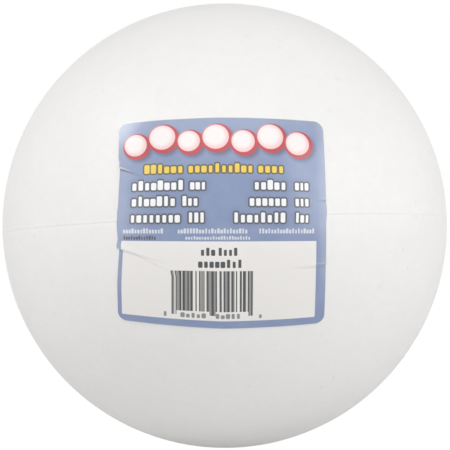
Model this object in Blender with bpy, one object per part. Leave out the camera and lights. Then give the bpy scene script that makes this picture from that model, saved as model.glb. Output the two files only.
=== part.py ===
"""A moulded polystyrene craft ball with a square paper label stuck on its front.

The ball is one solid moulding. Its mould draws along Z, so the parting line lies at Z = 0, where it
stands up as a fine ridge. The label is one curved sheet on the -Y side. The origin is the ball's
centre, and all sizes are in metres.
"""

import math

import bmesh
import bpy
from mathutils import Vector

# The ball
BALL_DIAMETER = 0.1524
RIDGE_WIDTH = 0.0006
RIDGE_HEIGHT = 0.0001

# The label, laid flat
LABEL_WIDTH = 0.0636
LABEL_HEIGHT = 0.0647
LABEL_THICKNESS = 0.00015
LABEL_CORNER_RADIUS = 0.0032

# The label's place on the ball: how far its middle lies below the parting line, measured over the
# surface, how far it is turned clockwise as seen from the front, and its clearance over the ridge
LABEL_DROP = 0.00205
LABEL_TURN = math.radians(2.06)
LABEL_CLEARANCE = 0.0003

# A corner of the sheet that is pressed onto the ball moves outwards and upwards by this much. The
# key says which corner: -1 or 1 for left or right, then for lower or upper.
CORNER_SPREAD = {
    (-1, -1): (0.0016, 0.0012),
    (1, -1): (0.0006, 0.0004),
    (1, 1): (0.0004, 0),
    (-1, 1): (0.0013, 0),
}

# The white panel printed on the label, by its margins from the label's edges, and the yellow band
PANEL_HEIGHT = 0.0242
PANEL_MARGIN_LEFT = 0.0012
PANEL_MARGIN_RIGHT = 0.0032
PANEL_MARGIN_BOTTOM = 0.0024
BAND_WIDTH = 0.0424
BAND_HEIGHT = 0.0037
BAND_MARGIN_LEFT = 0.0083
BAND_MARGIN_TOP = 0.0141

# Each pleat starts at a side edge of the label, -1 for the left one, at this height above the
# label's middle. It runs inwards over its length and falls by its fall on the way.
PLEATS = (
    {"side": -1, "height": 0.0167, "length": 0.0095, "fall": 0.0033},
    {"side": -1, "height": -0.0080, "length": 0.0168, "fall": 0.0048},
    {"side": 1, "height": -0.0126, "length": 0.0145, "fall": 0.0011},
)
PLEAT_WIDTH = 0.0018
PLEAT_CREST = 0.0005

# How finely the round shapes are divided
BALL_SIDES = 80
BALL_ROWS = 40
LABEL_CELL = 0.0040
CORNER_STEPS = 4

# The smallest distance that keeps two points apart
MERGE_DISTANCE = 1e-7

BALL_RADIUS = BALL_DIAMETER / 2
LABEL_LIFT = RIDGE_HEIGHT + LABEL_CLEARANCE


def clear_scene():
    for old in list(bpy.data.objects):
        bpy.data.objects.remove(old, do_unlink=True)


def principled(name, colour, roughness):
    """A plain surface of this colour (linear red, green, blue), with no metal in it."""
    material = bpy.data.materials.new(name)
    material.use_nodes = True
    shader = material.node_tree.nodes["Principled BSDF"]
    shader.inputs["Base Color"].default_value = (*colour, 1)
    shader.inputs["Roughness"].default_value = roughness
    shader.inputs["Metallic"].default_value = 0
    return material


def add_object(name, bm, materials):
    """Turns the finished bmesh into an object of this name."""
    mesh = bpy.data.meshes.new(name)
    bm.to_mesh(mesh)
    bm.free()
    for material in materials:
        mesh.materials.append(material)
    mesh.shade_smooth()
    mesh.set_sharp_from_angle(angle=math.radians(40))
    obj = bpy.data.objects.new(name, mesh)
    bpy.context.scene.collection.objects.link(obj)
    return obj


# The ball


def ball_profile():
    """Half the ball's section in the XZ plane, from the lower pole to the upper one."""
    step = math.pi / BALL_ROWS
    angles = [-math.pi / 2 + row * step for row in range(BALL_ROWS + 1)]
    middle = BALL_ROWS // 2
    lower = [(BALL_RADIUS * math.cos(a), BALL_RADIUS * math.sin(a)) for a in angles[:middle]]
    upper = [(x, -z) for x, z in reversed(lower)]
    foot = math.sqrt(BALL_RADIUS**2 - (RIDGE_WIDTH / 2) ** 2)
    ridge = [(foot, -RIDGE_WIDTH / 2), (BALL_RADIUS + RIDGE_HEIGHT, 0), (foot, RIDGE_WIDTH / 2)]
    return lower + ridge + upper


def make_foam_ball():
    bm = bmesh.new()
    points = [bm.verts.new((x, 0, z)) for x, z in ball_profile()]
    edges = [bm.edges.new(pair) for pair in zip(points, points[1:])]
    bmesh.ops.spin(
        bm,
        geom=points + edges,
        cent=(0, 0, 0),
        axis=(0, 0, 1),
        angle=math.tau,
        steps=BALL_SIDES,
        use_merge=True,
    )
    bmesh.ops.remove_doubles(bm, verts=bm.verts, dist=MERGE_DISTANCE)
    bmesh.ops.recalc_face_normals(bm, faces=bm.faces)
    foam = principled("foam", (0.86, 0.85, 0.83), 0.65)
    return add_object("foam_ball", bm, [foam])


# The label


def flat_sheet():
    """The sheet laid flat with rounded corners: X to its right, Y up, one face at Z = 0."""
    bm = bmesh.new()
    half_x = LABEL_WIDTH / 2
    half_y = LABEL_HEIGHT / 2
    signs = ((-1, -1), (1, -1), (1, 1), (-1, 1))
    corners = [bm.verts.new((x * half_x, y * half_y, 0)) for x, y in signs]
    bm.faces.new(corners)
    bmesh.ops.bevel(
        bm,
        geom=corners,
        offset=LABEL_CORNER_RADIUS,
        segments=CORNER_STEPS,
        profile=0.5,
        affect="VERTICES",
        material=-1,
    )
    return bm


def cut(bm, faces, point, normal):
    """Adds a straight line of points across these faces of the flat sheet."""
    geometry = set(faces)
    for face in faces:
        geometry.update(face.edges)
        geometry.update(face.verts)
    bmesh.ops.bisect_plane(
        bm, geom=list(geometry), dist=MERGE_DISTANCE, plane_co=point, plane_no=normal
    )


def panel_sides():
    """The printed panel's left, right, lower and upper side on the flat sheet."""
    left = PANEL_MARGIN_LEFT - LABEL_WIDTH / 2
    right = LABEL_WIDTH / 2 - PANEL_MARGIN_RIGHT
    lower = PANEL_MARGIN_BOTTOM - LABEL_HEIGHT / 2
    return left, right, lower, lower + PANEL_HEIGHT


def band_sides():
    """The yellow band's left, right, lower and upper side on the flat sheet."""
    left = BAND_MARGIN_LEFT - LABEL_WIDTH / 2
    upper = LABEL_HEIGHT / 2 - BAND_MARGIN_TOP
    return left, left + BAND_WIDTH, upper - BAND_HEIGHT, upper


def even_lines(length):
    """Places that divide a length, centred on zero, into equal cells of about LABEL_CELL."""
    cells = max(2, round(length / LABEL_CELL))
    return [length * (i / cells - 0.5) for i in range(1, cells)]


def clear_of(lines, sides):
    """The even lines that don't crowd a printed side, with those sides added."""
    kept = [line for line in lines if all(abs(line - side) > LABEL_CELL / 4 for side in sides)]
    return kept + list(sides)


def pleat_line(pleat):
    """A pleat's mouth on the label's edge, and the unit vectors along it and across it."""
    mouth = Vector((pleat["side"] * LABEL_WIDTH / 2, pleat["height"], 0))
    along = Vector((-pleat["side"] * pleat["length"], -pleat["fall"], 0)).normalized()
    across = Vector((-along.y, along.x, 0))
    return mouth, along, across


def pleat_lift(point):
    """How far the pleats raise this point of the flat sheet: a crest that fades inwards."""
    lift = 0
    for pleat in PLEATS:
        mouth, along, across = pleat_line(pleat)
        run = math.hypot(pleat["length"], pleat["fall"])
        inwards = (point - mouth).dot(along) / run
        aside = abs((point - mouth).dot(across)) / (PLEAT_WIDTH / 2)
        if inwards < 1 and aside < 1:
            lift = max(lift, PLEAT_CREST * (1 - max(0, inwards)) * (1 - aside))
    return lift


def cut_pleats(bm):
    """Gives each pleat a foot line on both sides of its crest, on the faces that it crosses."""
    for pleat in PLEATS:
        mouth, along, across = pleat_line(pleat)
        run = math.hypot(pleat["length"], pleat["fall"])
        for side in (-1, 0, 1):
            line = mouth + across * (side * PLEAT_WIDTH / 2)
            near = [
                face
                for face in bm.faces
                if abs((face.calc_center_median() - mouth).dot(across)) < LABEL_CELL
                and (face.calc_center_median() - mouth).dot(along) < run
            ]
            cut(bm, near, line, across)


def label_axes():
    """The label's right, up and outward directions at its middle."""
    latitude = -LABEL_DROP / BALL_RADIUS
    outward = Vector((0, -math.cos(latitude), math.sin(latitude)))
    level = Vector((1, 0, 0))
    upright = outward.cross(level)
    right = level * math.cos(LABEL_TURN) - upright * math.sin(LABEL_TURN)
    return right, outward.cross(right), outward


def spread(point):
    """The point of the flat sheet after its corners have spread, as a distance right and up."""
    side = math.copysign(1, point.x)
    end = math.copysign(1, point.y)
    out, up = CORNER_SPREAD[side, end]
    share = abs(point.x) / (LABEL_WIDTH / 2) * (abs(point.y) / (LABEL_HEIGHT / 2)) ** 2
    return point.x + side * out * share, point.y + up * share


def wrapped(point):
    """Where a point of the flat sheet lies on the ball: its distance from the label's middle is
    kept as an arc over the surface, and its height above the sheet as a height above the ball."""
    right, up, outward = label_axes()
    x, y = spread(point)
    arc = math.hypot(x, y)
    height = BALL_RADIUS + LABEL_LIFT + point.z + pleat_lift(Vector((point.x, point.y, 0)))
    if arc < MERGE_DISTANCE:
        return outward * height
    angle = arc / BALL_RADIUS
    sideways = (right * x + up * y) / arc
    return (outward * math.cos(angle) + sideways * math.sin(angle)) * height


def print_of(face):
    """The material index of the print under a flat face: 0 blue, 1 white panel, 2 yellow band."""
    centre = face.calc_center_median()
    for index, (left, right, lower, upper) in ((1, panel_sides()), (2, band_sides())):
        if left < centre.x < right and lower < centre.y < upper:
            return index
    return 0


def make_label():
    bm = flat_sheet()
    panel = panel_sides()
    band = band_sides()
    for x in clear_of(even_lines(LABEL_WIDTH), (*panel[:2], *band[:2])):
        cut(bm, list(bm.faces), (x, 0, 0), (1, 0, 0))
    for y in clear_of(even_lines(LABEL_HEIGHT), (panel[3], *band[2:])):
        cut(bm, list(bm.faces), (0, y, 0), (0, 1, 0))
    cut(bm, list(bm.faces), (0, panel[2], 0), (0, 1, 0))
    cut_pleats(bm)
    for face in bm.faces:
        face.material_index = print_of(face)
    raised = bmesh.ops.extrude_face_region(bm, geom=list(bm.faces))["geom"]
    for vert in (item for item in raised if isinstance(item, bmesh.types.BMVert)):
        vert.co.z = LABEL_THICKNESS
    # The faces are turned outwards while the sheet is flat, because the curved one is nearly hollow.
    bmesh.ops.recalc_face_normals(bm, faces=bm.faces)
    for vert in bm.verts:
        vert.co = wrapped(vert.co)
    paper = [
        principled("label_blue", (0.27, 0.35, 0.54), 0.4),
        principled("label_white", (0.80, 0.79, 0.76), 0.4),
        principled("label_yellow", (0.90, 0.72, 0.20), 0.4),
    ]
    return add_object("label", bm, paper)


def main():
    clear_scene()
    make_foam_ball()
    make_label()


main()
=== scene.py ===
"""Dresses the moulded foam ball and its stuck-on paper label, and sets up their studio."""

import math
import random
from functools import partialmethod

import bmesh
import bpy
from bpy.props import FloatProperty, FloatVectorProperty, IntProperty, PointerProperty
from mathutils import Matrix, Vector, kdtree, noise


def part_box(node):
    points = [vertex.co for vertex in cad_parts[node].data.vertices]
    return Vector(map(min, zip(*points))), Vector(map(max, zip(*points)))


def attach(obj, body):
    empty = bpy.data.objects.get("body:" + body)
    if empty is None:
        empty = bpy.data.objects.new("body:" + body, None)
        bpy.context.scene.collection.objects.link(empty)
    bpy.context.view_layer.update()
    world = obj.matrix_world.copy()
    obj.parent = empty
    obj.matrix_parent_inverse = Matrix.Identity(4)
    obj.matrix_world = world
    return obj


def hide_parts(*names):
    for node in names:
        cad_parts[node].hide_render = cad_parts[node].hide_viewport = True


bl_info = {
    "name": "Craft Ball",
    "version": (1, 0, 0),
    "blender": (4, 5, 0),
    "location": "3D View > Sidebar > Craft Ball",
    "description": "Models a moulded foam ball with a paper label stuck on it, and its studio",
    "category": "Object",
}

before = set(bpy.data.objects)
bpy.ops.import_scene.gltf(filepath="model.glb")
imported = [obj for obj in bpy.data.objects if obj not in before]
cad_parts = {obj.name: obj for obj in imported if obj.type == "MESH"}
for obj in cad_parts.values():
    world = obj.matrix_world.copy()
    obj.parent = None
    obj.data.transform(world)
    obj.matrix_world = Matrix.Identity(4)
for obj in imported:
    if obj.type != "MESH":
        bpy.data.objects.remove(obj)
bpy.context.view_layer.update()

BALL_LOW, BALL_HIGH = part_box("foam_ball")
BALL_RADIUS = (BALL_HIGH[2] - BALL_LOW[2]) / 2

# The smallest distance that keeps two points apart, and millimetres in a metre
MERGE_DISTANCE = 1e-7
MM = 1000

# Settings


def length(name, description, default):
    return FloatProperty(
        name=name, description=description, default=default, unit="LENGTH", precision=6
    )


def angle(name, description, degrees):
    return FloatProperty(
        name=name,
        description=description,
        default=math.radians(degrees),
        subtype="ANGLE",
        unit="ROTATION",
    )


def number(name, description, default):
    return FloatProperty(name=name, description=description, default=default)


def srgb(red, green, blue):
    """Linear colour of a shade given as it looks on a screen, each part from 0 to 255."""
    parts = (value / 255 for value in (red, green, blue))
    return [p / 12.92 if p <= 0.04045 else ((p + 0.055) / 1.055) ** 2.4 for p in parts]


def colour(name, description, shade):
    return FloatVectorProperty(
        name=name, description=description, default=srgb(*shade), subtype="COLOR", min=0, max=1
    )


class FoamBallSettings(bpy.types.PropertyGroup):
    """The moulding: its surface, its parting line and its foam."""

    radius: length("Radius", "Radius of the ball between its poles", BALL_RADIUS)
    sides: IntProperty(name="Sides", description="Divisions round the ball", default=384)
    rows: IntProperty(name="Rows", description="Divisions from pole to pole", default=232)
    ridge_height: length("Ridge height", "Height of the flash on the parting line", 0.0001)
    ridge_width: length("Ridge width", "Width of the flash at its foot", 0.00092)
    groove_depth: length("Groove depth", "Depth of the groove under the flash", 0.00008)
    unevenness: length("Unevenness", "Depth of the slow waves in the surface", 0.00008)
    wave_length: length("Wave length", "Size of the slow waves in the surface", 0.018)
    dents: IntProperty(name="Dents", description="Number of shallow dents", default=90)
    dent_depth: length("Dent depth", "Depth of the deepest dent", 0.00012)
    bead: length("Bead size", "Size of the fused beads", 0.0030)
    bead_relief: length("Bead relief", "How far a bead stands out of its joints", 0.000012)
    pit_depth: length("Pit depth", "Depth of the small pits between beads", 0.00008)
    dimple_depth: length("Dimple depth", "Depth of the dimples left by single beads", 0.00004)
    seed: IntProperty(name="Seed", description="Picks another set of dents", default=6)
    foam: colour("Foam", "Colour of the beads", (246, 245, 243))
    joint: colour("Joint", "Colour of the joints between the beads", (226, 225, 224))


class LabelSettings(bpy.types.PropertyGroup):
    """The stuck-on label: its sheet, its place on the ball and its print."""

    width: length("Width", "Width of the flat sheet", 0.0636)
    height: length("Height", "Height of the flat sheet", 0.0647)
    thickness: length("Thickness", "Thickness of the paper", 0.0001)
    corner: length("Corner radius", "Radius of the sheet's corners", 0.0032)
    drop: length("Drop", "How far its middle lies below the parting line", 0.00205)
    turn: angle("Turn", "Clockwise turn as seen from the front", 2.06)
    lift: length("Lift", "Height of the sheet's back over the ball", 0.00005)
    cell: length("Cell", "Size of the mesh cells", 0.0004)
    cockle: length("Cockle", "Height of the slow waves near the sheet's edges", 0.00006)
    blue: colour("Blue", "Printed field", (125, 143, 182))
    white: colour("White", "Unprinted paper, as on the panel", (243, 240, 237))
    bright: colour("Bright white", "White ink of the blocks", (249, 250, 252))
    ball_white: colour("Ball white", "White ink of the printed balls", (252, 245, 243))
    yellow: colour("Yellow", "Row of yellow blocks", (243, 210, 72))
    red: colour("Red", "Rims of the printed balls", (192, 40, 54))
    ink: colour("Ink", "Dark print", (52, 54, 56))


class StageSettings(bpy.types.PropertyGroup):
    """The camera, the lamps and the floor."""

    distance: length("Camera distance", "From the camera to the ball's centre", 0.48006)
    azimuth: angle("Camera azimuth", "Turn of the camera round the ball", 0.55)
    elevation: angle("Camera elevation", "Height of the camera over the parting line", -2.24)
    roll: angle("Camera roll", "Clockwise roll of the camera", 2.06)
    lens: number("Lens", "Focal length in millimetres", 110.62)
    surround: number("Surround", "Light from all round", 0.345)
    front_power: number("Front lamp", "Power of the large softbox in front, in watts", 1.1)
    high_power: number("High lamp", "Power of the softbox high in front, in watts", 1.34)
    right_power: number("Right lamp", "Power of the softbox on the right, in watts", 0.7)
    left_power: number("Left lamp", "Power of the softbox on the left, in watts", 0.55)
    near_right_power: number("Near right lamp", "Power of the softbox front right, in watts", 2.48)
    near_left_power: number("Near left lamp", "Power of the softbox front left, in watts", 1.25)
    upper_left_power: number("Upper left lamp", "Power of the small softbox, in watts", 1.25)
    upper_right_power: number("Upper right lamp", "Power of the small softbox, in watts", 0.12)
    back_power: number("Back lamp", "Power of the softbox behind, in watts", 0.65)
    floor: colour("Floor", "Colour of the floor", (186, 186, 186))
    floor_glow: number("Floor glow", "Light that the floor gives off by itself", 0.21)


class CraftBallSettings(bpy.types.PropertyGroup):
    """All the settings of the craft ball and its studio."""

    ball: PointerProperty(type=FoamBallSettings)
    label: PointerProperty(type=LabelSettings)
    stage: PointerProperty(type=StageSettings)


# Helpers for meshes and node trees


def add_piece(name, bm, materials):
    """Turns the finished bmesh into a smooth object with these materials."""
    mesh = bpy.data.meshes.new(name)
    bm.to_mesh(mesh)
    bm.free()
    for material in materials:
        mesh.materials.append(material)
    mesh.shade_smooth()
    piece = bpy.data.objects.new(name, mesh)
    bpy.context.scene.collection.objects.link(piece)
    return piece


class Graph:
    """Adds nodes to a tree. An input that is given a socket is linked, and any other is set."""

    def __init__(self, tree):
        self.tree = tree

    def add(self, kind, inputs=None, **settings):
        node = self.tree.nodes.new(kind)
        for name, value in settings.items():
            setattr(node, name, value)
        for key, value in (inputs or {}).items():
            self.put(node.inputs[key], value)
        return node

    def put(self, socket, value):
        if isinstance(value, bpy.types.NodeSocket):
            self.tree.links.new(value, socket)
        else:
            socket.default_value = value

    def math(self, operation, *values, clamp=False):
        inputs = dict(enumerate(values))
        return self.add("ShaderNodeMath", inputs, operation=operation, use_clamp=clamp).outputs[0]

    plus = partialmethod(math, "ADD")
    minus = partialmethod(math, "SUBTRACT")
    times = partialmethod(math, "MULTIPLY")
    times_plus = partialmethod(math, "MULTIPLY_ADD")
    size = partialmethod(math, "ABSOLUTE")

    def vector(self, operation, *values, output=0):
        inputs = dict(enumerate(values))
        return self.add("ShaderNodeVectorMath", inputs, operation=operation).outputs[output]

    def fade(self, value, start, end, low=0.0, high=1.0):
        """Goes smoothly from low to high as the value goes from start to end."""
        inputs = {"Value": value, "From Min": start, "From Max": end, "To Min": low, "To Max": high}
        node = self.add("ShaderNodeMapRange", inputs, interpolation_type="SMOOTHSTEP")
        return node.outputs["Result"]

    def fold(self, operation, values):
        """The least, the greatest or the product of several values."""
        result = None
        for value in values:
            result = value if result is None else self.math(operation, result, value)
        return result

    def chance(self, value):
        """Three chance numbers, Red, Green and Blue, that go with this value."""
        texture = self.add("ShaderNodeTexWhiteNoise", {"W": value}, noise_dimensions="1D")
        return self.add("ShaderNodeSeparateColor", {"Color": texture.outputs["Color"]}).outputs

    def rounded(self, over_x, over_y, corner):
        """The distance to a rounded outline, from how far a place lies past the corner's centre."""
        past = {"X": self.math("MAXIMUM", over_x, 0.0), "Y": self.math("MAXIMUM", over_y, 0.0)}
        outside = self.add("ShaderNodeCombineXYZ", past).outputs[0]
        outside = self.vector("LENGTH", outside, output="Value")
        inside = self.math("MINIMUM", self.math("MAXIMUM", over_x, over_y), 0.0)
        return self.minus(self.plus(outside, inside), corner)

    def bumps(self, *layers):
        """The normal under these layers of relief: each one's height, its depth and whether it is
        sunk into the surface."""
        normal = None
        for height, depth, sunken in layers:
            inputs = {"Height": height, "Distance": depth, "Strength": 1.0}
            if normal is not None:
                inputs["Normal"] = normal
            normal = self.add("ShaderNodeBump", inputs, invert=sunken).outputs[0]
        return normal

    def edge_on(self, start, end, low, high):
        """Goes from low, where the surface is seen face-on, to high where it is seen edge-on."""
        facing = self.add("ShaderNodeLayerWeight", {"Blend": 0.5}).outputs["Facing"]
        return self.fade(facing, start, end, low, high)

    def mix(self, share, first, second):
        """Mixes two colours: the second one where the share is 1."""
        node = self.add("ShaderNodeMix", data_type="RGBA")
        self.put(node.inputs["Factor"], share)
        self.put(node.inputs[6], first)
        self.put(node.inputs[7], second)
        return node.outputs[2]

    def group(self, tree, inputs):
        node = self.tree.nodes.new("ShaderNodeGroup")
        node.node_tree = tree
        for key, value in inputs.items():
            self.put(node.inputs[key], value)
        return node


def node_group(name, inputs, outputs):
    """An empty node group with float inputs, a leading vector input and float outputs."""
    tree = bpy.data.node_groups.new(name, "ShaderNodeTree")
    for kind, names in (("INPUT", inputs), ("OUTPUT", outputs)):
        for label in names:
            socket = "NodeSocketVector" if label == "Place" else "NodeSocketFloat"
            tree.interface.new_socket(name=label, in_out=kind, socket_type=socket)
    graph = Graph(tree)
    source = graph.add("NodeGroupInput")
    result = graph.add("NodeGroupOutput")
    return tree, graph, source.outputs, result.inputs


def new_material(name):
    """A material with its graph and its Principled shader."""
    material = bpy.data.materials.new(name)
    material.use_nodes = True
    return material, Graph(material.node_tree), material.node_tree.nodes["Principled BSDF"]


def opaque(shade):
    return (*shade, 1)


# Shared shader groups


# The inputs of the groups that draw creases, rows of blocks and fields, after the place
CREASE_SIZES = ("X", "Y", "Along X", "Along Y", "Length", "Width")
ROW_SIZES = ("Left", "Base", "Pitch", "Height", "Count", "Seed")
FIELD_SIDES = ("Left", "Right", "Low", "High", "Corner")


def bead_network_group():
    """Fused beads: Height is 1 on a crown, Joint is 1 in the joints, Tone is each bead's own."""
    inputs = ("Place", "Size", "Joint Width")
    tree, graph, source, result = node_group("bead_network", inputs, ("Height", "Joint", "Tone"))
    scale = graph.math("DIVIDE", 1.0, source["Size"])
    coarse = {"Vector": source["Place"], "Scale": scale, "Detail": 1.0}
    warp = graph.add("ShaderNodeTexNoise", coarse)
    bend = graph.vector("SUBTRACT", warp.outputs["Color"], (0.5, 0.5, 0.5))
    reach = graph.times(source["Size"], 0.35)
    bend = graph.vector("SCALE", bend)
    graph.put(bend.node.inputs["Scale"], reach)
    place = graph.vector("ADD", source["Place"], bend)
    cells = {"Vector": place, "Scale": scale, "Randomness": 0.9}
    cell = graph.add("ShaderNodeTexVoronoi", cells)
    edge = graph.add("ShaderNodeTexVoronoi", cells, feature="DISTANCE_TO_EDGE")
    crown = graph.math("POWER", graph.times(cell.outputs["Distance"], 1.25), 2.0)
    graph.put(result["Height"], graph.minus(1.0, crown, clamp=True))
    joint = graph.fade(edge.outputs["Distance"], 0.0, source["Joint Width"], 1.0, 0.0)
    graph.put(result["Joint"], joint)
    split = graph.add("ShaderNodeSeparateColor", {"Color": cell.outputs["Color"]})
    graph.put(result["Tone"], split.outputs["Red"])
    return tree


def pits_group():
    """Small round pits scattered over a surface: 1 in the middle of a pit and 0 outside."""
    inputs = ("Place", "Spacing", "Radius", "Share")
    tree, graph, source, result = node_group("pits", inputs, ("Pit",))
    scale = graph.math("DIVIDE", 1.0, source["Spacing"])
    cell = graph.add("ShaderNodeTexVoronoi", {"Vector": source["Place"], "Scale": scale})
    away = graph.times(cell.outputs["Distance"], source["Spacing"])
    chance = graph.add("ShaderNodeSeparateColor", {"Color": cell.outputs["Color"]}).outputs
    kept = graph.math("LESS_THAN", chance["Red"], source["Share"])
    size = graph.times_plus(chance["Green"], 0.6, 0.5)
    size = graph.times(source["Radius"], size)
    graph.put(result["Pit"], graph.times(kept, graph.fade(away, size, 0.0)))
    return tree


def crease_group():
    """A crease that starts at its mouth and fades along its length: 1 on its line."""
    inputs = ("Place", *CREASE_SIZES)
    tree, graph, source, result = node_group("crease", inputs, ("Crease",))
    place = graph.add("ShaderNodeSeparateXYZ", {"Vector": source["Place"]}).outputs
    x = graph.minus(place["X"], source["X"])
    y = graph.minus(place["Y"], source["Y"])
    along_x = graph.times(x, source["Along X"])
    along = graph.plus(along_x, graph.times(y, source["Along Y"]))
    across_x = graph.times(x, source["Along Y"])
    across = graph.minus(graph.times(y, source["Along X"]), across_x)
    near = graph.fade(graph.size(across), source["Width"], 0.0)
    crease = graph.times(near, graph.fade(along, source["Length"], 0.0))
    graph.put(result["Crease"], crease)
    return tree


def grain_group():
    """Fine grain between -1 and 1, of a given size."""
    tree, graph, source, result = node_group("grain", ("Place", "Size"), ("Grain",))
    scale = graph.math("DIVIDE", 1.0, source["Size"])
    inputs = {"Vector": source["Place"], "Scale": scale, "Detail": 2.0}
    texture = graph.add("ShaderNodeTexNoise", inputs)
    graph.put(result["Grain"], graph.times_plus(texture.outputs["Fac"], 2.0, -1.0))
    return tree


def block_row_group():
    """A row of rounded blocks on one base line: the distance to the nearest one, in millimetres,
    which is negative inside it. The blocks differ in width and height."""
    inputs = ("Place", *ROW_SIZES)
    tree, graph, source, result = node_group("block_row", inputs, ("Distance",))
    place = graph.add("ShaderNodeSeparateXYZ", {"Vector": source["Place"]}).outputs
    run = graph.math("DIVIDE", graph.minus(place["X"], source["Left"]), source["Pitch"])
    last = graph.minus(source["Count"], 1.0)
    index = graph.math("MINIMUM", graph.math("MAXIMUM", graph.math("FLOOR", run), 0.0), last)
    chance = graph.chance(graph.plus(index, source["Seed"]))
    half_width = graph.fade(chance["Red"], 0.0, 1.0, 0.27, 0.42)
    half_width = graph.times(source["Pitch"], half_width)
    tall = graph.times_plus(graph.math("GREATER_THAN", chance["Green"], 0.6), 0.12, 0.38)
    half_height = graph.times(source["Height"], tall)
    corner = graph.times(half_width, 0.55)
    beside = graph.minus(graph.minus(run, index), 0.5)
    beside = graph.size(graph.times(beside, source["Pitch"]))
    above = graph.minus(graph.minus(place["Y"], source["Base"]), half_height)
    over_x = graph.minus(beside, graph.minus(half_width, corner))
    over_y = graph.minus(half_height, corner)
    over_y = graph.minus(graph.size(above), over_y)
    graph.put(result["Distance"], graph.rounded(over_x, over_y, corner))
    return tree


def field_group():
    """A rectangle with rounded corners: the distance to its outline, in millimetres, which is
    negative inside it."""
    inputs = ("Place", *FIELD_SIDES)
    tree, graph, source, result = node_group("field", inputs, ("Distance",))
    place = graph.add("ShaderNodeSeparateXYZ", {"Vector": source["Place"]}).outputs
    over = []
    for axis, low, high in (("X", "Left", "Right"), ("Y", "Low", "High")):
        middle = graph.times(graph.plus(source[low], source[high]), 0.5)
        half = graph.minus(source[high], middle)
        away = graph.size(graph.minus(place[axis], middle))
        over.append(graph.minus(away, graph.minus(half, source["Corner"])))
    graph.put(result["Distance"], graph.rounded(*over, source["Corner"]))
    return tree


# The foam ball


# Rows of points over the parting line, and how far from it they stand in for the even ones, both
# in halves of the flash's width
CLOSE_ROWS = (-2, -1.7, -1.45, -1.2, -1, -0.75, -0.5, -0.25, 0, 0.25, 0.5, 0.75, 1, 1.3)
CLOSE_REACH = 2.6
# The groove below the flash: its middle and half its width, in halves of the flash's width
GROOVE_MIDDLE = 1.45
GROOVE_HALF = 0.5
# The length over which the flash comes and goes along the parting line
FLASH_WAVE = 0.007
# The radius of the smallest dent, and how much wider the widest one is
SMALLEST_DENT = 0.0015
DENT_SPREAD = 0.0035
# Scattered hollows of the foam: small pits between the beads, and wide dimples of single beads
PITS = {"Spacing": 0.0046, "Radius": 0.0011, "Share": 0.35}
DIMPLES = {"Spacing": 0.0072, "Radius": 0.0016, "Share": 0.45}
# The joints' width as a share of a bead, the pores' size and depth, and the size of broad patches
JOINT_WIDTH = 0.12
PORE_SIZE = 0.0006
PORE_DEPTH = 0.000003
PATCH_SIZE = 0.012
# How far the joints' colour shows: in the pits as painted shade, and in the joints, on single beads
# and in the patches
PIT_SHADE = 0.3
JOINT_TONE = 0.06
BEAD_TONE = 0.07
PATCH_TONE = 0.08


def ball_section(ball):
    """Heights of the rows of points from pole to pole, with close rows over the parting line."""
    step = math.pi / ball.rows
    even = [math.sin(-math.pi / 2 + row * step) * ball.radius for row in range(ball.rows + 1)]
    half = ball.ridge_width / 2
    close = [half * share for share in CLOSE_ROWS]
    return sorted([z for z in even if abs(z) > CLOSE_REACH * half] + close)


def unevenness(ball, place):
    """How far the slow waves of the surface lie below the true ball here."""
    wave = noise.noise(place / ball.wave_length) * 0.6
    wave += noise.noise(place / ball.wave_length * 2.7 + Vector((5, 5, 5))) * 0.4
    return ball.unevenness * (0.5 + 0.5 * wave)


def ridge(ball, place):
    """The height of the flash here, which is negative in the groove under it. It comes and goes
    along the parting line."""
    across = place.z / (ball.ridge_width / 2)
    if abs(across) > GROOVE_MIDDLE + GROOVE_HALF:
        return 0
    along = noise.noise(Vector((place.x, place.y, 0)) / FLASH_WAVE)
    flash = ball.ridge_height * (0.8 + 0.3 * along) * max(0, 1 - abs(across) ** 1.3)
    deep = max(0, 1 - abs(across + GROOVE_MIDDLE) / GROOVE_HALF)
    groove = ball.groove_depth * (0.7 - 0.5 * along) * deep
    return min(flash, ball.ridge_height) - groove


def press_dents(ball, bm):
    """Presses shallow round dents into the ball, most of them small."""
    chance = random.Random(ball.seed)
    tree = kdtree.KDTree(len(bm.verts))
    for index, vert in enumerate(bm.verts):
        tree.insert(vert.co, index)
    tree.balance()
    bm.verts.ensure_lookup_table()
    for _ in range(ball.dents):
        centre = Vector([chance.gauss(0, 1) for _ in range(3)]).normalized() * ball.radius
        size = SMALLEST_DENT + DENT_SPREAD * chance.random() ** 2
        depth = ball.dent_depth * chance.uniform(0.3, 1)
        for place, index, away in tree.find_range(centre, size):
            fall = (1 - (away / size) ** 2) ** 2
            bm.verts[index].co -= place.normalized() * (depth * fall)


def model_ball(ball):
    bm = bmesh.new()
    heights = ball_section(ball)
    points = [bm.verts.new((math.sqrt(max(0, ball.radius**2 - z * z)), 0, z)) for z in heights]
    edges = [bm.edges.new(pair) for pair in zip(points, points[1:])]
    bmesh.ops.spin(
        bm,
        geom=points + edges,
        cent=(0, 0, 0),
        axis=(0, 0, 1),
        angle=math.tau,
        steps=ball.sides,
        use_merge=True,
    )
    bmesh.ops.remove_doubles(bm, verts=bm.verts, dist=MERGE_DISTANCE)
    bmesh.ops.recalc_face_normals(bm, faces=bm.faces)
    for vert in bm.verts:
        out = vert.co.normalized()
        vert.co += out * (ridge(ball, vert.co) - unevenness(ball, vert.co))
    press_dents(ball, bm)
    return bm


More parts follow.
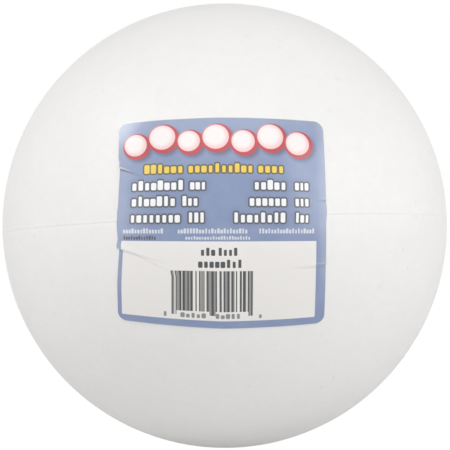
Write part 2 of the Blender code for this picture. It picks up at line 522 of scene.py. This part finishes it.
def foam_material(ball, groups):
    material, graph, shader = new_material("foam")
    place = graph.add("ShaderNodeTexCoord").outputs["Object"]

    def effect(name, inputs):
        return graph.group(groups[name], {"Place": place, **inputs}).outputs

    beads = effect("bead_network", {"Size": ball.bead, "Joint Width": JOINT_WIDTH})
    pits = effect("pits", PITS)["Pit"]
    dimples = effect("pits", DIMPLES)["Pit"]
    pores = effect("grain", {"Size": PORE_SIZE})["Grain"]
    patches = effect("grain", {"Size": PATCH_SIZE})["Grain"]
    # Joints are a shade darker, the pits get painted shade, and each bead has its own tone.
    joints = graph.times(beads["Joint"], JOINT_TONE)
    # The pits darken with painted shade.
    joints = graph.times_plus(pits, PIT_SHADE, joints, clamp=True)
    shade = graph.mix(joints, opaque(ball.foam), opaque(ball.joint))
    tone = graph.times(patches, PATCH_TONE)
    tone = graph.times_plus(beads["Tone"], BEAD_TONE, tone, clamp=True)
    graph.put(shader.inputs["Base Color"], graph.mix(tone, shade, opaque(ball.joint)))
    # The beads' fine texture hides the gloss where the surface is seen edge-on.
    dull = graph.edge_on(0.4, 0.85, 0.43, 0.88)
    graph.put(shader.inputs["Roughness"], graph.times_plus(beads["Tone"], 0.06, dull))
    normal = graph.bumps(
        (beads["Height"], ball.bead_relief, False),
        (pits, ball.pit_depth, True),
        (dimples, ball.dimple_depth, True),
        (pores, PORE_DEPTH, False),
    )
    graph.put(shader.inputs["Normal"], normal)
    return material


# The label

# Each pleat starts at a side edge of the sheet, -1 for the left one, at a height above the sheet's
# middle, runs inwards over its length and falls on the way. Its crest is steep below, over the
# width of its foot, and sinks soonest over the first stretch called hold. The sheet below its
# mouth is tucked inwards. Along the crest the ink is whitened, as cracked ink and as a painted
# highlight, and painted shade darkens the foot.
PLEAT_PARTS = ("side", "height", "length", "fall", "crest", "hold", "foot", "tuck", "crack_and_highlight", "foot_shade")
PLEAT_ROWS = (
    (-1, 0.0171, 0.0100, 0.0034, 0.00035, 0.0035, 0.0002, 0.0004, 0.7, 0.85),
    (-1, -0.0078, 0.0175, 0.0046, 0.00045, 0.0011, 0.00025, 0.00055, 0.2, 0.2),
    (1, -0.0126, 0.0145, 0.0005, 0.00024, 0.0022, 0.0004, 0.0001, 0.15, 0.22),
    (1, 0.0071, 0.0040, 0.0001, 0.00015, 0.0022, 0.0003, 0, 0.2, 0.2),
)
PLEATS = [dict(zip(PLEAT_PARTS, row)) for row in PLEAT_ROWS]
# How far a pleat's back reaches above its crest
PLEAT_ABOVE = 0.0026
# A crest sinks along the pleat with this power, and past its hold it keeps this share of its height
CREST_POWER = 0.7
CREST_KEPT = 0.25
# How far the tuck at a pleat's mouth reaches down the edge, and inwards
TUCK_DOWN = 0.006
TUCK_INWARDS = 0.004
# The size of the sheet's slow waves, and where they start between its middle and its edge
COCKLE_SIZE = 0.009
COCKLE_START = 0.45
# The paper bridges the parting line: how far to each side, and at what share of the flash's height
BRIDGE_REACH = 0.0013
BRIDGE_SHARE = 0.4

# Waves of the side edges: the side, the height above the middle, how far out and the reach
EDGE_WAVES = (
    (-1, 0.0182, -0.0003, 0.0014),
    (-1, 0.0135, -0.0002, 0.0040),
    (-1, 0.0035, 0.0002, 0.0015),
    (-1, -0.0005, 0.0005, 0.0035),
    (-1, -0.0068, 0.0004, 0.0013),
    (-1, -0.0200, 0.0003, 0.0070),
    (1, 0.0035, 0.0003, 0.0022),
)

# A corner of the sheet that is pressed onto the ball moves outwards and upwards by this much. The
# key says which corner: -1 or 1 for left or right, then for lower or upper.
CORNER_SPREAD = {
    (-1, -1): (0.0016, 0.0016),
    (1, -1): (0.0006, 0.0006),
    (1, 1): (0.0002, 0),
    (-1, 1): (0.0013, -0.0005),
}


def cut(bm, faces, point, normal):
    """Adds a straight line of points across these faces of the flat sheet."""
    geometry = set(faces)
    for face in faces:
        geometry.update(face.edges)
        geometry.update(face.verts)
    bmesh.ops.bisect_plane(
        bm, geom=list(geometry), dist=MERGE_DISTANCE, plane_co=point, plane_no=normal
    )


def flat_sheet(label):
    """The sheet laid flat with rounded corners and cut into small cells."""
    bm = bmesh.new()
    signs = ((-1, -1), (1, -1), (1, 1), (-1, 1))
    corners = [bm.verts.new((x * label.width / 2, y * label.height / 2, 0)) for x, y in signs]
    bm.faces.new(corners)
    bmesh.ops.bevel(
        bm,
        geom=corners,
        offset=label.corner,
        segments=12,
        profile=0.5,
        affect="VERTICES",
        material=-1,
    )
    for size, normal in ((label.width, (1, 0, 0)), (label.height, (0, 1, 0))):
        cells = round(size / label.cell)
        for line in range(1, cells):
            cut(bm, bm.faces[:], Vector(normal) * (size * (line / cells - 0.5)), normal)
    return bm


def pleat_line(label, pleat):
    """A pleat's mouth on the sheet's edge, and the unit vectors along it and across it, upwards."""
    mouth = Vector((pleat["side"] * label.width / 2, pleat["height"], 0))
    along = Vector((-pleat["side"] * pleat["length"], -pleat["fall"], 0)).normalized()
    across = Vector((-along.y, along.x, 0))
    return mouth, along, across if across.y > 0 else -across


def cut_creases(label, bm):
    """Gives each pleat a line of points on its crest and on its foot, so that both are sharp."""
    for pleat in PLEATS:
        mouth, along, across = pleat_line(label, pleat)
        for offset in (0, -pleat["foot"]):
            line = mouth + across * offset
            near = [
                face
                for face in bm.faces
                if abs((face.calc_center_median() - line).dot(across)) < 2 * label.cell
                and (face.calc_center_median() - mouth).dot(along) < pleat["length"]
            ]
            cut(bm, near, line, across)


def pleat_lift(label, flat):
    """How far the pleats raise this point of the flat sheet."""
    lift = 0
    for pleat in PLEATS:
        mouth, along, across = pleat_line(label, pleat)
        inwards = max(0, (flat - mouth).dot(along))
        left = 1 - inwards / math.hypot(pleat["length"], pleat["fall"])
        aside = (flat - mouth).dot(across)
        share = 1 - aside / PLEAT_ABOVE if aside > 0 else 1 + aside / pleat["foot"]
        if left > 0 and share > 0:
            held = CREST_KEPT + (1 - CREST_KEPT) * math.exp(-inwards / pleat["hold"])
            crest = pleat["crest"] * left**CREST_POWER * held
            lift = max(lift, crest * (share**2 if aside > 0 else share))
    return lift


def edge_share(label, flat):
    """0 in the middle of the sheet and 1 at its edges."""
    return max(abs(flat.x) / (label.width / 2), abs(flat.y) / (label.height / 2))


def cockle(label, flat):
    """Slow waves that grow towards the edges, where flat paper has too much length for the ball."""
    share = max(0, edge_share(label, flat) - COCKLE_START) / (1 - COCKLE_START)
    wave = noise.noise(flat / COCKLE_SIZE + Vector((3, 7, 1)))
    return label.cockle * share**2 * (1 + wave)


def spread(label, flat):
    """The flat point after its corners have spread and the pleats have tucked it in."""
    side = math.copysign(1, flat.x)
    end = math.copysign(1, flat.y)
    out, up = CORNER_SPREAD[side, end]
    share = abs(flat.x) / (label.width / 2) * (abs(flat.y) / (label.height / 2)) ** 2
    x = flat.x + side * out * share
    y = flat.y + up * share
    for pleat in PLEATS:
        mouth, along, across = pleat_line(label, pleat)
        below = -(flat - mouth).dot(across)
        inwards = (flat - mouth).dot(along)
        if side == pleat["side"] and below > 0:
            fade = math.exp(-below / TUCK_DOWN - max(0, inwards) / TUCK_INWARDS)
            x -= side * pleat["tuck"] * min(1, below / pleat["foot"]) * fade
    edge = (flat.x / (label.width / 2)) ** 4
    for wave_side, height, out, reach in EDGE_WAVES:
        if side == wave_side:
            x += side * out * edge * math.exp(-(((flat.y - height) / reach) ** 2))
    return x, y


def label_axes(ball, label):
    """The label's right, up and outward directions at its middle."""
    latitude = -label.drop / ball.radius
    outward = Vector((0, -math.cos(latitude), math.sin(latitude)))
    level = Vector((1, 0, 0))
    right = Matrix.Rotation(-label.turn, 3, outward) @ level
    return right, outward.cross(right), outward


def bridge(place):
    """How much the stiff paper is raised here by the parting line under it: 1 over the line."""
    return math.exp(-((place.z / BRIDGE_REACH) ** 2))


def wrap(ball, label, bm):
    """Lays the flat sheet on the ball: each point keeps its distance from the sheet's middle as an
    arc over the surface, and its height above the sheet as a height above the ball."""
    right, up, outward = label_axes(ball, label)
    for vert in bm.verts:
        flat = Vector((vert.co.x, vert.co.y, 0))
        height = ball.radius + label.lift + vert.co.z
        height += pleat_lift(label, flat) + cockle(label, flat)
        x, y = spread(label, flat)
        arc = math.hypot(x, y)
        if arc < MERGE_DISTANCE:
            vert.co = outward * height
            continue
        turn = arc / ball.radius
        sideways = (right * x + up * y) / arc
        place = (outward * math.cos(turn) + sideways * math.sin(turn)) * height
        raised = ball.ridge_height * BRIDGE_SHARE * bridge(place)
        vert.co = place + place.normalized() * raised


def model_label(ball, label):
    """The sheet with its thickness, creased and wrapped. The printed face has material 0, and the
    edge and the back have material 1."""
    bm = flat_sheet(label)
    cut_creases(label, bm)
    raised = bmesh.ops.extrude_face_region(bm, geom=bm.faces[:])["geom"]
    for vert in (item for item in raised if isinstance(item, bmesh.types.BMVert)):
        vert.co.z = label.thickness
    bmesh.ops.recalc_face_normals(bm, faces=bm.faces)
    flat_map = bm.loops.layers.uv.new("flat")
    for face in bm.faces:
        face.material_index = 0 if face.normal.z > 0.5 else 1
        for loop in face.loops:
            loop[flat_map].uv = loop.vert.co.xy * MM
    rim = {edge for face in bm.faces if abs(face.normal.z) < 0.5 for edge in face.edges}
    wrap(ball, label, bm)
    for edge in rim:
        edge.smooth = False
    return bm


# The printed balls: each one's radius and how far its middle lies above the row's line, from left
# to right, with the row's left end and line and the space between two balls, in millimetres
PRINTED_BALLS = (
    (3.8, -1.2), (4.2, 0.9), (3.5, -0.6), (4.1, 0.6),
    (3.7, -0.8), (4.2, 0.8), (3.9, -1.1),
)
PRINTED_BALLS_LEFT = -30.0
PRINTED_BALLS_LINE = 25.3
PRINTED_BALLS_SPACE = 0.35

# Rows of blocks in millimetres on the flat sheet: left end, base line, pitch, height and count
WHITE_BLOCKS = (
    (-27.6, 9.7, 2.05, 3.0, 8),
    (-9.6, 9.7, 1.65, 3.0, 3),
    (9.2, 9.7, 2.00, 3.0, 5),
    (21.6, 9.7, 1.50, 3.0, 3),
    (-27.6, 4.9, 2.00, 3.0, 7),
    (-11.9, 4.9, 1.65, 3.0, 3),
    (7.8, 4.9, 1.90, 3.0, 6),
    (21.6, 4.9, 1.50, 3.0, 3),
    (-27.8, 0.0, 1.95, 3.0, 8),
    (-10.1, 0.0, 1.70, 3.0, 3),
    (3.1, 0.0, 1.98, 3.0, 8),
    (21.6, 0.0, 1.50, 3.0, 3),
)
YELLOW_BLOCKS = (
    (-23.6, 14.8, 2.05, 2.8, 6),
    (-10.2, 14.8, 1.95, 2.8, 10),
    (10.4, 14.8, 2.05, 2.8, 4),
)
SMALL_WHITE_BLOCKS = (
    (-30.0, -3.2, 0.90, 1.5, 14),
    (-13.2, -3.2, 0.90, 1.5, 23),
    (10.7, -3.2, 0.90, 1.5, 19),
    (-10.9, -5.0, 0.80, 1.1, 24),
)
SMALL_DARK_BLOCKS = ((-30.0, -5.1, 0.80, 1.2, 13),)
PANEL_BLOCKS = (
    (-6.5, -9.75, 1.55, 2.4, 3),
    (-1.3, -9.75, 1.50, 2.4, 4),
    (-7.2, -13.35, 1.65, 2.5, 8),
)
TICK_BLOCKS = (
    (-17.5, -29.1, 1.3, 1.6, 1),
    (-12.4, -29.1, 1.55, 1.6, 5),
    (-2.2, -29.1, 1.55, 1.6, 5),
    (10.7, -29.1, 1.3, 1.6, 1),
)
# The panel: left, right, low, high and corner radius in millimetres
PANEL = (-30.45, 28.4, -29.85, -5.5, 0.2)
# Painted sheen makes the blue field paler towards three sides of the sheet: along which axis, from
# where to where in millimetres, and by how much white
PAINTED_SHEEN_SIDES = (("X", 28, 31.5, 0.13), ("X", -24, -32, 0.08), ("Y", 22, 32, 0.09))
# The bars in millimetres: where they start and end, the foot of most of them, the foot of the long
# ones at both ends and in the middle, and their top
BARS_LEFT = -15.3
BARS_RIGHT = 9.6
BARS_LOW = -26.9
LONG_BARS_LOW = -28.2
BARS_HIGH = -14.3
# Two layers of bars: pitch, half of the thinnest and of the widest one as shares of it, the share
# of bars that are there, how dark they are, and which set of them it is
BAR_LAYERS = (
    (1.75, 0.22, 0.44, 0.75, 0.72, 4.0),
    (1.18, 0.15, 0.31, 0.92, 1.0, 40.0),
)
# How soft a bar's sides are. The bars are long where they are nearer to the row's middle than the
# next number, or further from it than the one after.
BAR_SOFTNESS = 0.035
LONG_MIDDLE = 0.9
LONG_ENDS = 10.6
# Where the fold bends the first bars: between which heights and places it sets in, and how far
BEND_RISE = (-16.4, -14.6)
BEND_SPREAD = (-11.5, -13.5)
BAR_BEND = 0.28
# A faint fold below the long pleat, drawn as a line of painted shade: its start, its direction and
# its length and width
FAINT_FOLD = dict(zip(CREASE_SIZES, (-21.2, -12.0, 0.907, -0.421, 9, 0.45)))
# The unprinted rim that the die left at the top and on the right, in millimetres. It is half as
# wide below, and the left side has none.
BARE_RIM = 0.2

# Linear colours that are mixed into the print: pure white, the shade under the balls, the pink
# inside their rims, the shade and the outlines round the blocks, the painted shade at the pleats'
# feet, the painted shade along the faint fold and the dot screen
WHITE = (1, 1, 1, 1)
BALL_SHADE = (0.10, 0.09, 0.16, 1)
PINK = (0.93, 0.62, 0.62, 1)
BLOCK_SHADE = (0.10, 0.12, 0.20, 1)
BROWN = (0.09, 0.055, 0.01, 1)
DARK_OUTLINE = (0.04, 0.045, 0.06, 1)
PAINTED_SHADE = (0.10, 0.10, 0.13, 1)
FOLD_SHADE = (0.20, 0.19, 0.18, 1)
SCREEN_GREY = (0.5, 0.5, 0.5, 1)

# The inks of the printed balls: how far each one is moved to the right and upwards, its colour or
# its setting's name, its strength, and the distances from a ball's outline where it starts and
# where it is full. The lengths are in millimetres.
BALL_INKS = (
    (1.1, -1.2, BALL_SHADE, 0.9, 1.6, -0.6),
    (0.3, -0.35, "red", 1, 0.65, 0.50),
    (-0.05, 0.05, PINK, 1, -0.15, -0.30),
    (-0.35, 0.4, "ball_white", 1, 0, -1.8),
)
# The layers of blocks: their rows, their seed and their inks, and for each ink its strength and the
# same two distances. The white rows have three inks.
WHITE_INKS = (
    (BLOCK_SHADE, 0.2, 2.4, 0.3),
    (DARK_OUTLINE, 0.95, 0.62, 0.28),
    ("bright", 1, 0.05, -0.10),
)
FIELD_LAYERS = (
    (YELLOW_BLOCKS, 3.3, ((BROWN, 0.95, 0.58, 0.25), ("yellow", 1, 0.05, -0.10))),
    (WHITE_BLOCKS, 11.1, WHITE_INKS),
    (SMALL_WHITE_BLOCKS, 57.7, (("bright", 0.65, 0.10, -0.12),)),
    (SMALL_DARK_BLOCKS, 71.9, (("ink", 0.9, 0.12, -0.10),)),
)
PANEL_LAYERS = (
    (PANEL_BLOCKS, 91.3, (("ink", 1, 0.06, -0.08),)),
    (TICK_BLOCKS, 13.9, (("ink", 0.75, 0.10, -0.10),)),
)
# How far the seeds of two rows lie apart
SEED_STEP = 31.7
# The marks on the pleats, cracked ink with a painted highlight on the crest and painted shade at
# the foot: their key, their ink, the share of a pleat's length that bears them, their width in
# millimetres, and how many widths of the foot they lie below the crest
PLEAT_MARKS = (("crack_and_highlight", "bright", 0.5, 0.5, -0.5), ("foot_shade", PAINTED_SHADE, 1, 0.6, 2))


def ball_row_group():
    """The distance to the rim of the nearest of the printed balls."""
    tree, graph, source, result = node_group("ball_row", ("Place",), ("Distance",))
    rims = []
    left = PRINTED_BALLS_LEFT
    for radius, rise in PRINTED_BALLS:
        centre = (left + radius, PRINTED_BALLS_LINE + rise, 0)
        away = graph.vector("DISTANCE", source["Place"], centre, output="Value")
        rims.append(graph.minus(away, radius))
        left += 2 * radius + PRINTED_BALLS_SPACE
    graph.put(result["Distance"], graph.fold("MINIMUM", rims))
    return tree


def between(graph, value, low, high):
    """1 where the value lies between two others."""
    above = graph.math("GREATER_THAN", value, low)
    return graph.times(above, graph.math("LESS_THAN", value, high))


def bar_mask(graph, axes, pitch, thin, wide, share, tone, seed):
    """How dark one layer of bars is. Each bar has its own width and place in its share of the row,
    and the first ones bend a little at the faint fold."""
    bend = graph.fade(axes["Y"], *BEND_RISE)
    bend = graph.times(bend, graph.fade(axes["X"], *BEND_SPREAD))
    x = graph.times_plus(bend, BAR_BEND, axes["X"])
    run = graph.math("DIVIDE", graph.minus(x, BARS_LEFT), pitch)
    index = graph.math("FLOOR", run)
    chance = graph.chance(graph.plus(index, seed))
    half = graph.fade(chance["Red"], 0.1, 0.9, thin, wide)
    middle = graph.times_plus(chance["Green"], 0.9 - 2 * wide, 0.05 + wide)
    away = graph.minus(graph.minus(run, index), middle)
    away = graph.minus(graph.size(away), half)
    soft = BAR_SOFTNESS / pitch
    aside = graph.minus(axes["X"], (BARS_LEFT + BARS_RIGHT) / 2)
    aside = graph.size(aside)
    long = graph.math("LESS_THAN", aside, LONG_MIDDLE)
    long = graph.math("MAXIMUM", long, graph.math("GREATER_THAN", aside, LONG_ENDS))
    low = graph.times_plus(long, LONG_BARS_LOW - BARS_LOW, BARS_LOW)
    masks = (
        graph.fade(away, soft, -soft),
        graph.math("LESS_THAN", chance["Blue"], share),
        between(graph, axes["X"], BARS_LEFT, BARS_RIGHT),
        between(graph, axes["Y"], low, BARS_HIGH),
        tone,
    )
    return graph.fold("MULTIPLY", masks)


class Print(Graph):
    """The label's print on its flat map. Each ink is laid over the ones before it."""

    def __init__(self, graph, label, groups):
        super().__init__(graph.tree)
        self.label = label
        self.groups = groups
        self.place = self.add("ShaderNodeUVMap", uv_map="flat").outputs["UV"]
        self.axes = self.add("ShaderNodeSeparateXYZ", {"Vector": self.place}).outputs
        self.shade = opaque(label.blue)

    def lay(self, mask, ink):
        """Lays a colour, or the label's colour of that name, where the mask is 1."""
        colour_of_ink = opaque(getattr(self.label, ink)) if isinstance(ink, str) else ink
        self.shade = self.mix(mask, self.shade, colour_of_ink)

    def effect(self, name, inputs):
        """What a shared shader group gives on the flat sheet."""
        return self.group(self.groups[name], {"Place": self.place, **inputs}).outputs[0]

    def outline(self, *sides):
        """The distance to the outline of a field."""
        return self.effect("field", dict(zip(FIELD_SIDES, sides)))

    def blue_field(self):
        """Mottles the blue field a little and lays painted sheen on it towards three sides, where
        it grows paler.
        """
        above_foot = self.fade(self.axes["Y"], -28, -14)
        pale = self.fade(self.effect("grain", {"Size": 7.0}), -0.6, 0.8, 0.0, 0.05)
        # Painted sheen: paler towards three sides, where the softboxes' glare falls on the coat.
        for axis, start, end, share in PAINTED_SHEEN_SIDES:
            side = self.fade(self.axes[axis], start, end, 0.0, share)
            pale = self.times_plus(side, above_foot, pale)
        self.lay(pale, WHITE)

    def balls(self):
        for right, up, ink, strength, start, full in BALL_INKS:
            moved = self.vector("SUBTRACT", self.place, (right, up, 0))
            away = self.group(self.groups["ball_row"], {"Place": moved}).outputs[0]
            self.lay(self.fade(away, start, full, 0.0, strength), ink)

    def blocks(self, layers):
        for rows, seed, inks in layers:
            found = []
            for index, row in enumerate(rows):
                sizes = (*row, seed + SEED_STEP * index)
                found.append(self.effect("block_row", dict(zip(ROW_SIZES, sizes))))
            away = self.fold("MINIMUM", found)
            for ink, strength, start, full in inks:
                self.lay(self.fade(away, start, full, 0.0, strength), ink)

    def panel(self):
        self.lay(self.fade(self.outline(*PANEL), 0.06, -0.06), "white")
        self.blocks(PANEL_LAYERS)
        for layer in BAR_LAYERS:
            self.lay(bar_mask(self, self.axes, *layer), "ink")

    def crease_marks_and_shade(self):
        """Marks the pleats' crests with cracked ink and a painted highlight, their feet with
        painted shade, and paints shade along the faint fold.
        """
        for key, ink, reach, width, below in PLEAT_MARKS:
            marks = []
            for pleat in PLEATS:
                mouth, along, across = pleat_line(self.label, pleat)
                start = (mouth - across * (below * pleat["foot"])) * MM
                sizes = (start.x, start.y, along.x, along.y, pleat["length"] * reach * MM, width)
                mark = self.effect("crease", dict(zip(CREASE_SIZES, sizes)))
                marks.append(self.times(mark, pleat[key]))
            # Whitens the crests, as cracked ink and a painted highlight, and lays painted shade at
            # the feet.
            self.lay(self.fold("MAXIMUM", marks), ink)
        # Paints a faint line of shade along the fold.
        fold = self.effect("crease", FAINT_FOLD)
        self.lay(self.times(fold, 0.12), FOLD_SHADE)

    def bare_rim(self):
        half_width = self.label.width / 2 * MM
        half_height = self.label.height / 2 * MM
        low = -half_height - BARE_RIM / 2
        corner = self.label.corner * MM
        away = self.outline(-half_width - BARE_RIM, half_width, low, half_height, corner)
        self.lay(self.fade(away, -BARE_RIM - 0.08, 0.08 - BARE_RIM), "white")

    def dot_screen(self):
        dots = self.effect("grain", {"Size": 0.35})
        self.lay(self.fade(dots, -0.8, 0.8, 0.0, 0.05), SCREEN_GREY)


def label_print(graph, label, groups):
    """The printed colour: a blue field with the balls, the blocks and the panel, then cracked ink
    with a painted highlight and painted shade on the creases, the bare rim and the dot screen.
    """
    sheet = Print(graph, label, groups)
    sheet.blue_field()
    sheet.balls()
    sheet.blocks(FIELD_LAYERS)
    sheet.panel()
    sheet.crease_marks_and_shade()
    sheet.bare_rim()
    sheet.dot_screen()
    return sheet.shade


# The sizes of the paper's fibres under the coating and on the bare edge, and their relief
COATED_FIBRE = 0.0005
BARE_FIBRE = 0.0004
FIBRE_DEPTH = 0.000002
# The bare paper's colour between its fibres and on them
PAPER_DARK = srgb(232, 230, 226)
PAPER_PALE = srgb(244, 243, 240)


def print_material(label, groups):
    """Coated paper with its print, whose gloss fades where it is seen edge-on."""
    material, graph, shader = new_material("label_print")
    graph.put(shader.inputs["Base Color"], label_print(graph, label, groups))
    place = graph.add("ShaderNodeTexCoord").outputs["Object"]
    fibre = graph.group(groups["grain"], {"Place": place, "Size": COATED_FIBRE}).outputs["Grain"]
    dull = graph.edge_on(0.45, 0.8, 0.34, 0.8)
    graph.put(shader.inputs["Roughness"], graph.times_plus(fibre, 0.04, dull))
    graph.put(shader.inputs["Coat Weight"], graph.edge_on(0.45, 0.8, 0.8, 0.0))
    graph.put(shader.inputs["Coat Roughness"], 0.17)
    graph.put(shader.inputs["Normal"], graph.bumps((fibre, FIBRE_DEPTH, False)))
    return material


def paper_material(groups):
    """The bare paper of the label's edge and back."""
    material, graph, shader = new_material("label_paper")
    place = graph.add("ShaderNodeTexCoord").outputs["Object"]
    fibre = graph.group(groups["grain"], {"Place": place, "Size": BARE_FIBRE}).outputs["Grain"]
    shade = graph.mix(graph.fade(fibre, -0.8, 0.8), opaque(PAPER_DARK), opaque(PAPER_PALE))
    graph.put(shader.inputs["Base Color"], shade)
    graph.put(shader.inputs["Roughness"], graph.times_plus(fibre, 0.05, 0.7))
    return material


# The stage


# The strength of the white that the camera sees on the floor, and its share there: the rest is the
# lit floor, which keeps the ball's shadow
FLOOR_WHITE = 1.08
FLOOR_WHITE_SHARE = 0.9
FLOOR_HALF_WIDTH = 3
# The width of the camera's sensor in millimetres
SENSOR_WIDTH = 36
# How far the camera's frame is shifted to the right and upwards, as shares of its width
CAMERA_SHIFT = (0.00058, 0.00153)
# The softboxes: the azimuth and elevation in degrees, the distance and the size. Each one's name
# also names its power among the settings.
SOFTBOXES = (
    ("front", 0, 25, 1.0, 1.1),
    ("high", 0, 50, 1.0, 0.8),
    ("near_right", 52, 13, 0.9, 0.6),
    ("near_left", -52, 13, 0.9, 0.55),
    ("right", 92, 12, 0.9, 0.45),
    ("left", -98, 12, 0.9, 0.6),
    ("upper_left", -62.5, 43, 0.9, 0.26),
    ("upper_right", 75, 29, 0.9, 0.15),
    ("back", 180, 12, 0.9, 0.5),
)


def show_white(graph, output, lit, kind, strength, share):
    """Lays this share of white over what is lit, as the camera sees it straight, in reflections and
    through glass. All other light stays that of the lit shader."""
    path = graph.add("ShaderNodeLightPath").outputs
    rays = [path[name] for name in ("Is Camera Ray", "Is Glossy Ray", "Is Transmission Ray")]
    seen = graph.times(graph.fold("MAXIMUM", rays), share)
    white = graph.add(kind, {"Color": WHITE, "Strength": strength})
    mixed = graph.add("ShaderNodeMixShader", {0: seen, 1: lit, 2: white.outputs[0]})
    graph.put(output.inputs["Surface"], mixed.outputs[0])


def floor_material(stage):
    """A pale floor that shows the camera white and keeps a faint shadow of the ball."""
    material, graph, shader = new_material("studio_floor")
    graph.put(shader.inputs["Base Color"], opaque(stage.floor))
    graph.put(shader.inputs["Roughness"], 0.9)
    graph.put(shader.inputs["Emission Color"], WHITE)
    graph.put(shader.inputs["Emission Strength"], stage.floor_glow)
    output = material.node_tree.nodes["Material Output"]
    lit = shader.outputs[0]
    show_white(graph, output, lit, "ShaderNodeEmission", FLOOR_WHITE, FLOOR_WHITE_SHARE)
    return material


def studio_world(stage):
    """White to the camera and in reflections, and a soft light from all round for the rest."""
    world = bpy.data.worlds.new("studio_world")
    bpy.context.scene.world = world
    world.use_nodes = True
    light = world.node_tree.nodes["Background"]
    light.inputs["Color"].default_value = WHITE
    light.inputs["Strength"].default_value = stage.surround
    output = world.node_tree.nodes["World Output"]
    graph = Graph(world.node_tree)
    show_white(graph, output, light.outputs[0], "ShaderNodeBackground", 1.0, 1.0)


def direction(azimuth, elevation):
    """Unit vector towards a place round the ball. Azimuth 0 is in front, and turns to the right."""
    level = math.cos(elevation)
    return Vector((math.sin(azimuth) * level, -math.cos(azimuth) * level, math.sin(elevation)))


def add_facing(name, data, towards, distance, roll):
    """Adds a lamp or a camera that faces the ball, rolled clockwise."""
    holder = bpy.data.objects.new(name, data)
    holder.location = towards * distance
    holder.rotation_mode = "QUATERNION"
    level = towards.to_track_quat("Z", "Y")
    holder.rotation_quaternion = Matrix.Rotation(-roll, 3, towards).to_quaternion() @ level
    bpy.context.scene.collection.objects.link(holder)
    return holder


def add_softbox(name, azimuth, elevation, distance, size, power):
    """A square lamp that faces the ball."""
    lamp = bpy.data.lights.new(name, "AREA")
    lamp.size = size
    lamp.energy = power
    towards = direction(math.radians(azimuth), math.radians(elevation))
    add_facing(name, lamp, towards, distance, 0)


def add_camera(stage):
    camera = bpy.data.cameras.new("camera")
    camera.lens = stage.lens
    camera.sensor_width = SENSOR_WIDTH
    camera.shift_x, camera.shift_y = CAMERA_SHIFT
    towards = direction(stage.azimuth, stage.elevation)
    holder = add_facing("camera", camera, towards, stage.distance, stage.roll)
    bpy.context.scene.camera = holder


def add_floor(stage):
    bm = bmesh.new()
    bmesh.ops.create_grid(bm, x_segments=1, y_segments=1, size=FLOOR_HALF_WIDTH)
    bmesh.ops.translate(bm, verts=bm.verts, vec=(0, 0, -BALL_RADIUS))
    floor = add_piece("studio_floor", bm, [floor_material(stage)])


# Operators and their panel


def shader_groups():
    """The shared shader groups by name, built once."""
    makers = {
        "bead_network": bead_network_group,
        "pits": pits_group,
        "grain": grain_group,
        "crease": crease_group,
        "ball_row": ball_row_group,
        "block_row": block_row_group,
        "field": field_group,
    }
    return {name: bpy.data.node_groups.get(name) or make() for name, make in makers.items()}


class CRAFT_OT_foam_ball(bpy.types.Operator):
    """Model the moulded ball with its parting line, dents and foam"""

    bl_idname = "craft.foam_ball"
    bl_label = "Foam Ball"

    def execute(self, context):
        ball = context.scene.craft.ball
        piece = add_piece("ball_skin", model_ball(ball), [foam_material(ball, shader_groups())])
        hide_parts("foam_ball")
        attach(piece, "root")
        return {"FINISHED"}


class CRAFT_OT_label(bpy.types.Operator):
    """Model the printed paper label with its pleats, wrapped onto the ball"""

    bl_idname = "craft.label"
    bl_label = "Label"

    def execute(self, context):
        craft = context.scene.craft
        groups = shader_groups()
        materials = [print_material(craft.label, groups), paper_material(groups)]
        piece = add_piece("label_sheet", model_label(craft.ball, craft.label), materials)
        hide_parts("label")
        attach(piece, "root")
        return {"FINISHED"}


class CRAFT_OT_stage(bpy.types.Operator):
    """Set up the floor, the world, the softboxes and the camera"""

    bl_idname = "craft.stage"
    bl_label = "Stage"

    def execute(self, context):
        stage = context.scene.craft.stage
        context.scene.view_settings.view_transform = "Standard"
        studio_world(stage)
        add_floor(stage)
        for name, *place in SOFTBOXES:
            add_softbox(f"{name}_softbox", *place, getattr(stage, f"{name}_power"))
        add_camera(stage)
        return {"FINISHED"}


class CRAFT_PT_panel(bpy.types.Panel):
    """Lists the pieces and their settings."""

    bl_label = "Craft Ball"
    bl_idname = "CRAFT_PT_panel"
    bl_space_type = "VIEW_3D"
    bl_region_type = "UI"
    bl_category = "Craft Ball"

    def draw(self, context):
        craft = context.scene.craft
        for operator, settings in (
            ("craft.foam_ball", craft.ball),
            ("craft.label", craft.label),
            ("craft.stage", craft.stage),
        ):
            box = self.layout.box()
            box.operator(operator)
            for name in settings.bl_rna.properties.keys():
                if name not in ("rna_type", "name"):
                    box.prop(settings, name)


CLASSES = (
    FoamBallSettings,
    LabelSettings,
    StageSettings,
    CraftBallSettings,
    CRAFT_OT_foam_ball,
    CRAFT_OT_label,
    CRAFT_OT_stage,
    CRAFT_PT_panel,
)


def register():
    for kind in CLASSES:
        bpy.utils.register_class(kind)
    bpy.types.Scene.craft = PointerProperty(type=CraftBallSettings)


def unregister():
    del bpy.types.Scene.craft
    for kind in reversed(CLASSES):
        bpy.utils.unregister_class(kind)


def main():
    register()
    bpy.ops.craft.foam_ball()
    bpy.ops.craft.label()
    bpy.ops.craft.stage()


if __name__ == "__main__":
    main()
